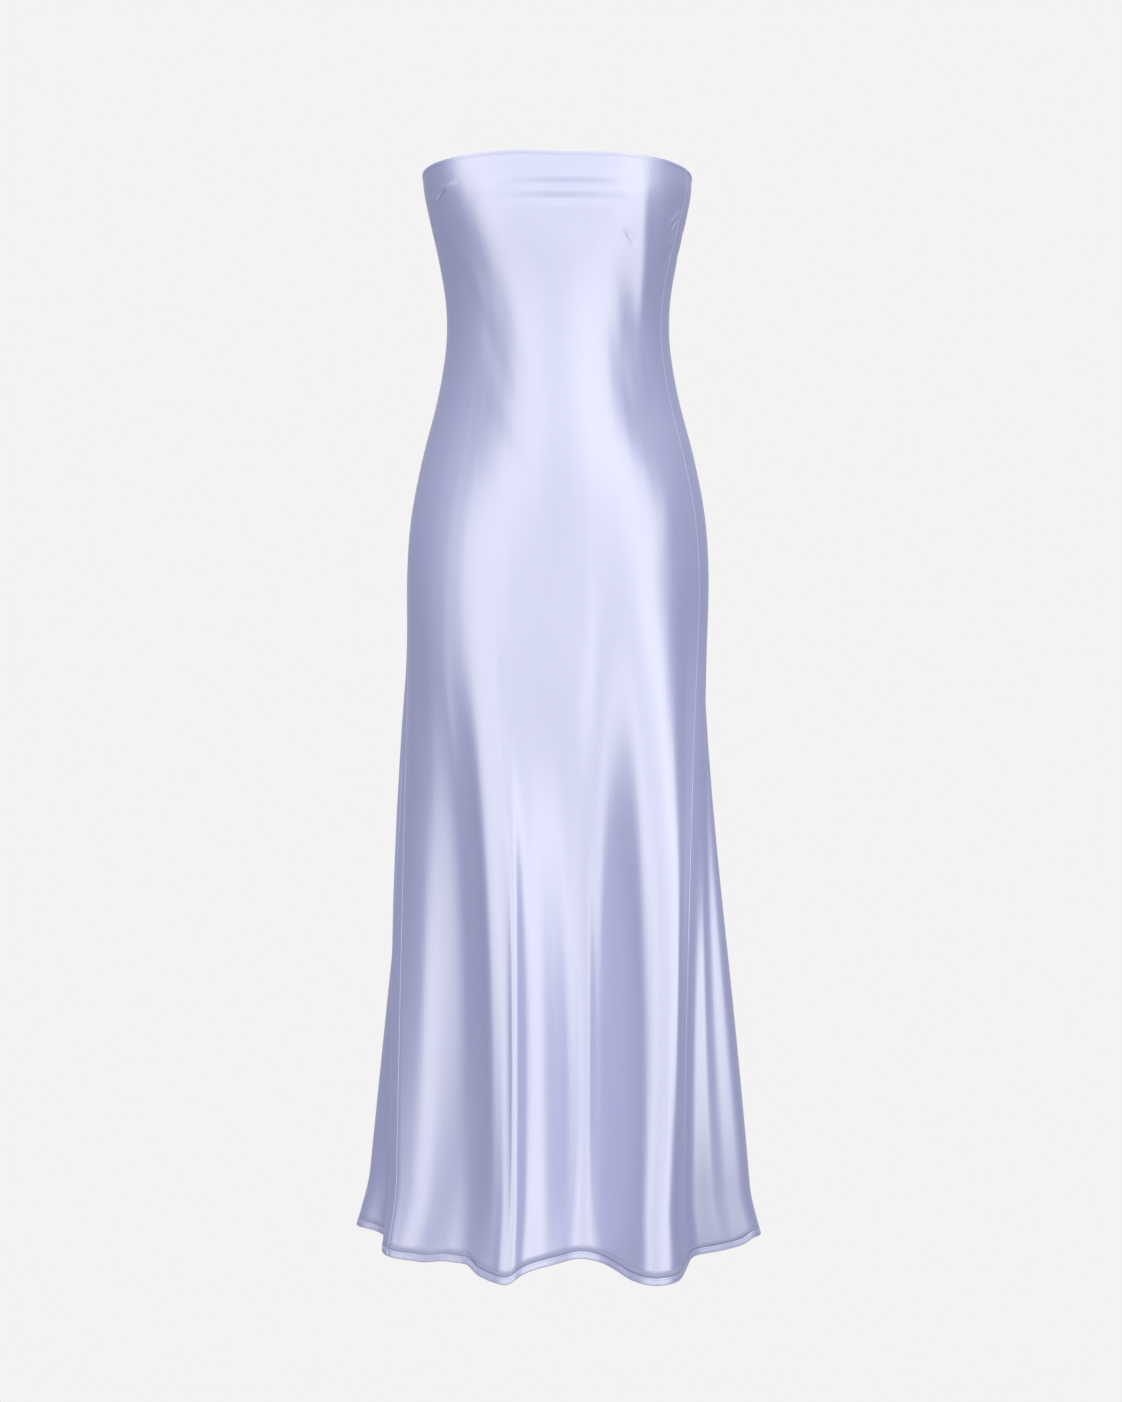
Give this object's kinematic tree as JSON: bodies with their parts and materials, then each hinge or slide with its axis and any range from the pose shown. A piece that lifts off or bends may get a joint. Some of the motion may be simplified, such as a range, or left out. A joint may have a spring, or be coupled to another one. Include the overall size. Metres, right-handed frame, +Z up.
{
  "type": "strapless slip dress",
  "caption": "Full-length strapless satin slip dress, fitted to the hip and falling in soft fluted folds to a narrow hem, filled out as worn.",
  "frame": {"origin": "middle of the body's hollow at the bust line, 40 mm below the front's top edge, where the dress grips its wearer", "axes": "+Z up along the body, -Y towards the front of the dress, +X towards the viewer's right when the front is seen"},
  "size_m": [0.4503, 0.3603, 1.2092],
  "materials": {
    "satin": "satin weave, smooth and glossy, in pale periwinkle"
  },
  "bodies": {
    "root": {"front_panel": "satin", "back_panel": "satin", "front_hem": "satin", "back_hem": "satin"}
  },
  "joints": []
}
